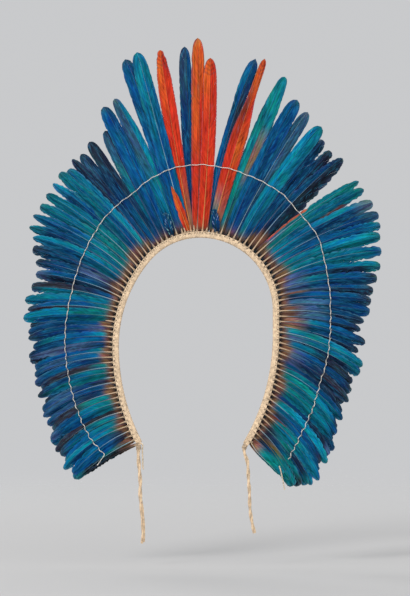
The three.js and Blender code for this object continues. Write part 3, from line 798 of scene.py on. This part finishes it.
for name, side, first, pitch, rim, dyes, lot in SIDES:
    dice = random.Random(lot)
    for group, slot in enumerate(SIDE_SLOTS):
        bm = new_mesh()
        for index in range(group * SIDE_GROUP, (group + 1) * SIDE_GROUP):
            down_side = first + index * pitch
            low = max(i for i, row in enumerate(rim[:-1]) if row[0] <= down_side)
            share = (down_side - rim[low][0]) / (rim[low + 1][0] - rim[low][0])
            tip_x, tip_z, droop = (a + (b - a) * share for a, b in zip(rim[low][1:], rim[low + 1][1:]))
            layer = (-side if group % 2 else side) * SIDE_LAYER
            foot = band_place(side * down_side, 0)[0]
            usual = (1, 1, 0.5 - side * dice.uniform(0.04, 0.14), 0)
            wider, longer, shaft, back = ODD_ONES.get((name, index), usual)
            loose = index in LOOSE_ONES
            longer *= dice.choice([0.94, 0.965, 0.99, 1.01]) if loose else dice.uniform(0.99, 1.01)
            strays = dice.uniform(-0.03, 0.03) if loose else 0
            away = Vector((tip_x - foot.x, 0, tip_z - foot.z)) * longer
            tip_x, tip_z = foot.x + away.x - away.z * strays, foot.z + away.z + away.x * strays
            thin = wider < THIN_FEATHER
            outline = dice.choice(["side", "pointed", "blunt"])
            if side > 0 and index in BLUNT_ONES:
                outline = "blunt"
            width = SIDE_WIDTH * dice.uniform(0.94, 1.04) * wider
            feather = Feather(side * down_side, tip_x, tip_z, side * droop, width, layer + back, outline, shaft=shaft,
                              tilt=-side * SIDE_TILT)
            near, middle, beyond, end, under = dyes[index]
            shade = dice.uniform(0.85, 1.18)
            fluff = mix(BROWN, SALMON, dice.random() ** 2 * 0.6)
            down = 0.078 + 0.07 * max(0, math.sin(index * 0.95 + lot)) * dice.uniform(0.7, 1.1)
            softness = dice.uniform(0.0, 0.4)
            edge_upper, edge_dye, edge_from, edge_to = EDGES.get((name, index), (True, near, 0, 0))

            def colours(along, web_side, across):
                upper = web_side == side
                body = middle if upper else mix(middle, under, 0.75)
                outer = beyond if upper else under
                last = end if upper else mix(end, under, 0.35)
                # Right at the band the vane is painted near black as shade between the quills; then come the down and
                # the dyes.
                dye = ramp([(0, BLACK_DYE_AND_ROOT_SHADE), (0.034, BLACK_DYE_AND_ROOT_SHADE), (0.054, BROWN), (0.75 * down, fluff), (down, fluff),
                            (down + 0.05, near), (0.26, mix(near, body, 0.5)), (0.36, body),
                            (0.5, mix(body, outer, 0.35)), (0.6, outer), (0.82, outer), (0.95, last),
                            (1, mix(last, GREY, 0.3))], along)
                # Painted shadow: a darker band along the lower web where the edge of the next feather lies over it.
                gap = 1 if upper else 1 - 0.55 * max(0, 1 - abs(across - 0.5) / 0.35)
                dye = tuple(part * shade * gap for part in dye)
                if upper == edge_upper and across > 0.5 and edge_from < along < edge_to:
                    dye = mix(dye, edge_dye, min(across - 0.5, 0.3) / 0.3)
                return mix(dye, RIM_DYE, softness * max(0, across - 0.8) / 0.2)

            seed = lot * 50 + index
            path = grow(bm, feather, colours, seed, clumps=12 if thin else 8, wear=0.75 if thin else 0.24,
                        spacing=2.5 if thin else 4)
            bright = dice.random() < 0.3
            line = mix(ICE, middle, 0.3) if bright else mix(mix(LILAC, QUILL, 0.2), middle, dice.uniform(0.4, 0.95))
            if shaft > 0.8:
                line = mix(QUILL, ICE, 0.5)
                bright = True
            tube(bm, path, shaft_radius, 6,
                 lambda share: ramp([(0, QUILL), (down, QUILL), (down + 0.04, mix(QUILL, line, 0.7)),
                                     (down + 0.12, line), (0.45, mix(line, middle, 0.1 if bright else 0.3)),
                                     (0.7, mix(line, beyond, 0.4 if bright else 0.7)),
                                     (1, beyond)], share), seed=seed, material=1)
            quills.append(feather)
        spray = f"{name}_{group + 1:02d}"
        piece(f"{spray}_plume", bm, [vane, horn], [spray])

# ---- Sewing ----
# A fine cord of the same fibre goes round every quill where it leaves the band and slants across the band's face
# to the next one, so that dark gaps show between the quills.

SEWING_RADIUS = 0.55
TURNS = [(0.9, 1.9), (2.3, 1.7)]  # two turns round a quill: how far out from the band, radius
# One stitch: place along the band from the quill, distance outside the band's edge, depth.
STITCH = [(-0.5, -4.6, -2.9), (-0.4, -4.2, -3.75), (0.4, -2.2, -4.0), (1.2, -0.6, -3.5), (1.6, 0.3, -2.4),
          (1.7, 0.6, -0.8)]


def turn_round(centre, left, wide, deep, steps):
    """The line once round a quill or shaft: wide to its sides, deep to front and back."""
    angles = [2 * math.pi * i / steps for i in range(steps + 1)]
    return [centre + left * math.cos(angle) * wide + FRONT * math.sin(angle) * deep for angle in angles]


bm = new_mesh()
for feather in quills:
    left = feather.axis(1.0)[1]
    for reach, wide in TURNS:
        ring = turn_round(feather.spot(reach, 0), left, wide, wide, 8)
        tube(bm, ring, SEWING_RADIUS, 5, CREAM, side_on=Vector((left.z, 0, -left.x)))
    line = [band_place(feather.at + on, out)[0] + Vector((0, depth, 0)) for on, out, depth in STITCH]
    tube(bm, line, SEWING_RADIUS, 5, CREAM, lay=2.5, ply=0.3)
piece("band_sewing", bm, [fibre])

# ---- Restraining thread ----
# A fine two-ply thread drawn across the front of the feathers and taken once round each shaft, so that it dips a
# little between them.

THREAD_RADIUS = 0.72
THREAD = (0.97, 0.92, 0.83)
THREAD_SHADE = (0.07, 0.055, 0.05)
THREAD_STEPS = 420
THREAD_CLEAR = 1.9  # how far in front of a feather's layer the thread runs
# Place along the band, distance outside its edge.
THREAD_ROUTE = [
    (-437, 56), (-406, 67), (-366, 73), (-312, 78), (-262, 81), (-206, 83), (-171, 87), (-132, 92), (-96, 96),
    (-68, 97), (-42, 107), (-15, 113), (20, 112), (54, 109), (82, 108), (108, 102), (134, 102), (166, 92),
    (200, 88), (246, 87), (289, 83), (322, 77), (358, 75), (397, 71), (438, 70),
]
THREAD_START, THREAD_END = THREAD_ROUTE[0][0], THREAD_ROUTE[-1][0]
CROWN_FRONT = 1.3  # foremost layer that the thread crosses at the crown
CROWN_HALF_SPAN = 62  # the crown's layers reach this far along the band
CROWN_BLEND = 24


def thread_point(at):
    """The thread where it passes this place along the band, in front of the feathers there."""
    out = blend(THREAD_ROUTE, at)[0]
    point = band_place(at, out)[0]
    beyond = clamped((abs(at) - CROWN_HALF_SPAN) / CROWN_BLEND)
    layer = CROWN_FRONT + (SIDE_LAYER - CROWN_FRONT) * beyond
    point.y = out ** 2 / DISH_LENGTH - layer * LAYER_STEP - THREAD_CLEAR
    return point


bm = new_mesh()
route = []
for i in range(THREAD_STEPS + 1):
    at = THREAD_START + (THREAD_END - THREAD_START) * i / THREAD_STEPS
    point = thread_point(at)
    slack = 0.5 + 0.8 * max(0, (abs(at) - 180) / 250)
    wander = slack * math.sin(at * 0.54) + 0.4 * math.sin(at * 0.23 + 1)
    route.append(point + band_place(at, 0)[1] * wander + Vector((0, 0.35 * math.sin(at * 0.74 + 1), 0)))


def thread_dye(share):
    """Paler on top of each feather, and darker with painted shade where it goes down beside the shaft."""
    at = THREAD_START + (THREAD_END - THREAD_START) * share
    beside = max(0, math.sin(2 * math.pi * at / STITCH_PITCH)) ** 4
    return mix(THREAD, THREAD_SHADE, beside * min(abs(at) / 160, 1))


tube(bm, route, THREAD_RADIUS, 6, thread_dye, ply=0.2, lay=3.0)

# At the left end the thread's last length hangs back towards the rim.
BRANCH_ASIDE = 12.2
BRANCH_DOWN = 17.3
BRANCH_STEPS = 8
end = route[0]
branch = [end + Vector((-BRANCH_ASIDE * i / BRANCH_STEPS, -0.6 * math.sin(i / BRANCH_STEPS * math.pi),
                        -BRANCH_DOWN * i / BRANCH_STEPS))
          for i in range(BRANCH_STEPS + 1)]
tube(bm, branch, THREAD_RADIUS * 0.85, 6, THREAD, ply=0.2, lay=3.0)

# Where each feather passes under the thread, a turn of it goes round the shaft.
WRAP_RADIUS = 1.2
WRAP_THREAD_RADIUS = 0.42
WRAPPED_LENGTH = 130  # shorter feathers end below the thread
NEAREST_WRAP = 60
WRAP_REACH = 4
for feather in quills:
    if feather.length < WRAPPED_LENGTH:
        continue
    reaches = [NEAREST_WRAP + 2 * i for i in range(int((feather.length - NEAREST_WRAP) / 2))]
    gaps = [(min((point - feather.axis(reach)[0]).xz.length for point in route), reach) for reach in reaches]
    gap, reach = min(gaps)
    if gap > WRAP_REACH:
        continue
    centre = feather.spot(reach, feather.shaft_offset(reach))
    nearest = min(route, key=lambda point: (point - centre).xz.length)
    centre = Vector((centre.x, (centre.y + nearest.y) / 2, centre.z))
    left = feather.axis(reach)[1]
    deep = abs(centre.y - nearest.y) + 0.7
    ring = turn_round(centre, left, WRAP_RADIUS, deep, 10)
    # The turns round the shafts are darker with painted shade.
    tube(bm, ring, WRAP_THREAD_RADIUS, 5, mix(THREAD, THREAD_SHADE, 0.6), side_on=Vector((left.z, 0, -left.x)))
piece("restraining_thread_twine", bm, [fibre], ["restraining_thread"])

# ---- Ties and loose ends ----
# Two-ply cords of the band's own fibre, one from each end of the band, that are knotted behind the head. Beside the
# left one hangs the thin end of the sewing cord; the restraining thread ends in a short tail at the right.


def smooth_route(points, step):
    """A smooth line through the points (x, z), with a point every step."""
    rows = [(i, x, z) for i, (x, z) in enumerate(points)]
    length = sum(math.dist(a, b) for a, b in zip(points, points[1:]))
    count = max(4, round(length / step))
    return [Vector((x, 0, z)) for x, z in (blend(rows, i * (len(points) - 1) / count) for i in range(count + 1))]


def hang(name, node, path, diameter, lay, colour, radius=None, extra=()):
    """A free cord along path, with its twist, that stands in for its part."""
    bm = new_mesh()
    tube(bm, path, radius or diameter / 2, 10, colour, ply=0.34, lay=lay)
    for line, thick in extra:
        tube(bm, line, thick / 2, 7, colour, ply=0.3, lay=lay)
    made = piece(name, bm, [fibre], [node])


# The routes of the four cords, x and z, from where they leave the object.
TIE_LEFT = [
    (-104.4, -356.6), (-105, -366), (-104.7, -374), (-103.9, -387.4), (-102.7, -400.4), (-101.5, -416.7),
    (-101.7, -433), (-101, -449.1), (-100, -465.5), (-98.6, -481.8), (-97.8, -497.9), (-98, -510), (-98.8, -520.4),
]
TIE_RIGHT = [
    (76.3, -355.2), (74.8, -361), (76.3, -369), (79.2, -376.5), (81, -385), (81.9, -397.1), (82.3, -410.2),
    (83.5, -424.8), (84.3, -441), (84.5, -454.1), (85.6, -467.2), (87.6, -480.1), (90, -491.5), (92.7, -502.9),
]
LOOSE_END = [(-96.9, -353.3), (-97.9, -359), (-97.8, -368), (-97.2, -379), (-97.1, -389), (-96.2, -394.7)]
THREAD_TAIL = [(134.6, -388.5), (137.2, -397), (139.6, -408), (141.9, -419), (143.9, -429.4)]

TIE_TAN = (0.84, 0.61, 0.39)
TAIL_TAN = (0.84, 0.69, 0.50)
TIE_STEP = 1.5
TAIL_STEP = 0.8
TAIL_IN_FRONT = 3.4


def left_tie_radius(share):
    """Full above, one strand's thickness below, where the other strand has parted from it."""
    return 3.4 - 1.2 * clamped((share - 0.5) / 0.2)


# The lower end of the left tie has come undone into its two strands.
STRAND_ASIDE = 3.1
STRAND_PARTS_OVER = 16
left_line = smooth_route(TIE_LEFT, TIE_STEP)
half_way = len(left_line) // 2
strand = [point + Vector((STRAND_ASIDE * min((i + 1) / STRAND_PARTS_OVER, 1), 0.3, 0))
          for i, point in enumerate(left_line[half_way:-2])]
hang("tie_left_cord", "tie_left", left_line, 6.6, 27, TIE_TAN, radius=left_tie_radius,
     extra=[(strand, 3.6)])
hang("tie_right_cord", "tie_right", smooth_route(TIE_RIGHT, TIE_STEP), 6.2, 24, TIE_TAN)
hang("loose_end_cord", "loose_end", smooth_route(LOOSE_END, TAIL_STEP), 2.0, 6, TAIL_TAN,
     radius=1.45)
tail = [point + FRONT * TAIL_IN_FRONT for point in smooth_route(THREAD_TAIL, TAIL_STEP)]
hang("thread_tail_cord", "thread_tail", tail, 1.6, 5, TAIL_TAN, radius=1.15)

# Each tie is drawn into the end of the band and whipped to it with a few turns of the sewing cord. The loose end
# comes out of the left whipping in a small arch.
WHIP_TURNS = 5
WHIP_PITCH = 1.5
WHIP_RADIUS = 3.7
WHIP_CORD_RADIUS = 0.8
NECK_RADIUS = 3.3
ARCH_RADIUS = 1.4
ARCH_STEPS = 8
bm = new_mesh()
for at, tie in ((BAND_START, TIE_LEFT), (BAND_END, TIE_RIGHT)):
    inside = band_place(at * 0.985, -BAND_WIDTH / 2)[0]
    top = Vector((tie[0][0], 0, tie[0][1]))
    below = Vector((tie[1][0], 0, tie[1][1]))
    neck = [inside, inside.lerp(top, 0.5), top, top.lerp(below, 0.5), below]
    tube(bm, neck, NECK_RADIUS, 10, CREAM, ply=0.25, lay=12)
    down = (below - inside).normalized()
    aside = down.cross(FRONT)
    for turn in range(WHIP_TURNS):
        centre = top + down * (turn * WHIP_PITCH - 3)
        ring = [centre + (aside * math.cos(angle) + FRONT * math.sin(angle)) * WHIP_RADIUS + down * angle * 0.2
                for angle in (2 * math.pi * i / 14 for i in range(15))]
        tube(bm, ring, WHIP_CORD_RADIUS, 6, CREAM, side_on=down, lay=4, ply=0.3)
start = Vector((LOOSE_END[0][0], 0, LOOSE_END[0][1]))
whipped = Vector((TIE_LEFT[0][0], 0, TIE_LEFT[0][1] + 3))
arch = [whipped.lerp(start, i / ARCH_STEPS) + Vector((0, 0, 3 * math.sin(math.pi * i / ARCH_STEPS)))
        for i in range(ARCH_STEPS + 1)]
tube(bm, arch, ARCH_RADIUS, 8, TAIL_TAN, ply=0.3, lay=6)
piece("band_end_whipping", bm, [fibre])

# ---- Studio ----
# A pale paper floor that fades out into an even pale light all round, a broad key light from the upper left, a
# softer fill and two weaker lamps behind, so that the back is lit too.

# In metres.
FLOOR = -0.56
FLOOR_RADIUS = 4.5
PAPER = (0.60, 0.595, 0.59)


def paper_look(start):
    """Matt paper that grows clear towards the rim of the floor."""
    place = start.node("ShaderNodeTexCoord", output="Object")
    grain = noise(start, place, 40.0, 2.0)
    out = start.node("ShaderNodeVectorMath", {"operation": "LENGTH"}, {0: place}, output="Value")
    fade = start.node("ShaderNodeMapRange", {"interpolation_type": "SMOOTHERSTEP"},
                      {"Value": out, 1: 0.6, 2: FLOOR_RADIUS - 0.3, 3: 1.0, 4: 0.0})
    return {"Base Color": (*PAPER, 1), "Roughness": grain * 0.1 + 0.85, "Alpha": fade}


paper = surface("floor_paper", paper_look, Specular_IOR_Level=0.1)
bm = bmesh.new()
made = bmesh.ops.create_circle(bm, cap_ends=True, segments=64, radius=FLOOR_RADIUS)
bmesh.ops.translate(bm, verts=made["verts"], vec=(0, 0, FLOOR))
mesh = bpy.data.meshes.new("floor")
bm.to_mesh(mesh)
bm.free()
mesh.materials.append(paper)
floor = bpy.data.objects.new("floor", mesh)
bpy.context.scene.collection.objects.link(floor)
floor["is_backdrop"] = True

# Name, place, size, power.
LIGHTS = [
    ("key", (-2.6, -4.2, 2.4), 1.6, 132),
    ("fill", (3.0, -3.6, 0.8), 2.4, 32),
    ("back_left", (-2.8, 3.8, 2.2), 2.2, 70),
    ("back_right", (3.0, 3.4, 1.0), 2.2, 36),
]
centre = (Vector(cad_low) + Vector(cad_high)) / 2
for name, place, size, power in LIGHTS:
    data = bpy.data.lights.new(name, "AREA")
    data.size = size
    data.energy = power
    lamp = bpy.data.objects.new(name, data)
    lamp.location = place
    lamp.rotation_euler = (centre - Vector(place)).to_track_quat("-Z", "Y").to_euler()
    bpy.context.scene.collection.objects.link(lamp)

world = bpy.data.worlds.new("studio")
world.use_nodes = True
world.node_tree.nodes["Background"].inputs["Color"].default_value = (0.97, 0.98, 1.0, 1)
world.node_tree.nodes["Background"].inputs["Strength"].default_value = 0.6
bpy.context.scene.world = world
bpy.context.scene.view_settings.view_transform = "Standard"

# The camera looks straight at the front from far off, level with the middle of the view.
VIEW_DISTANCE = 6.0
VIEW_HEIGHT = 1.0132
SENSOR = 36
camera = bpy.data.objects.new("camera", bpy.data.cameras.new("camera"))
camera.location = (0.0085, -VIEW_DISTANCE, -0.1032)
camera.rotation_euler = (math.radians(90), 0, 0)
camera.data.sensor_width = SENSOR
camera.data.lens = SENSOR * VIEW_DISTANCE / VIEW_HEIGHT
bpy.context.scene.collection.objects.link(camera)
bpy.context.scene.camera = camera

low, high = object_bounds()
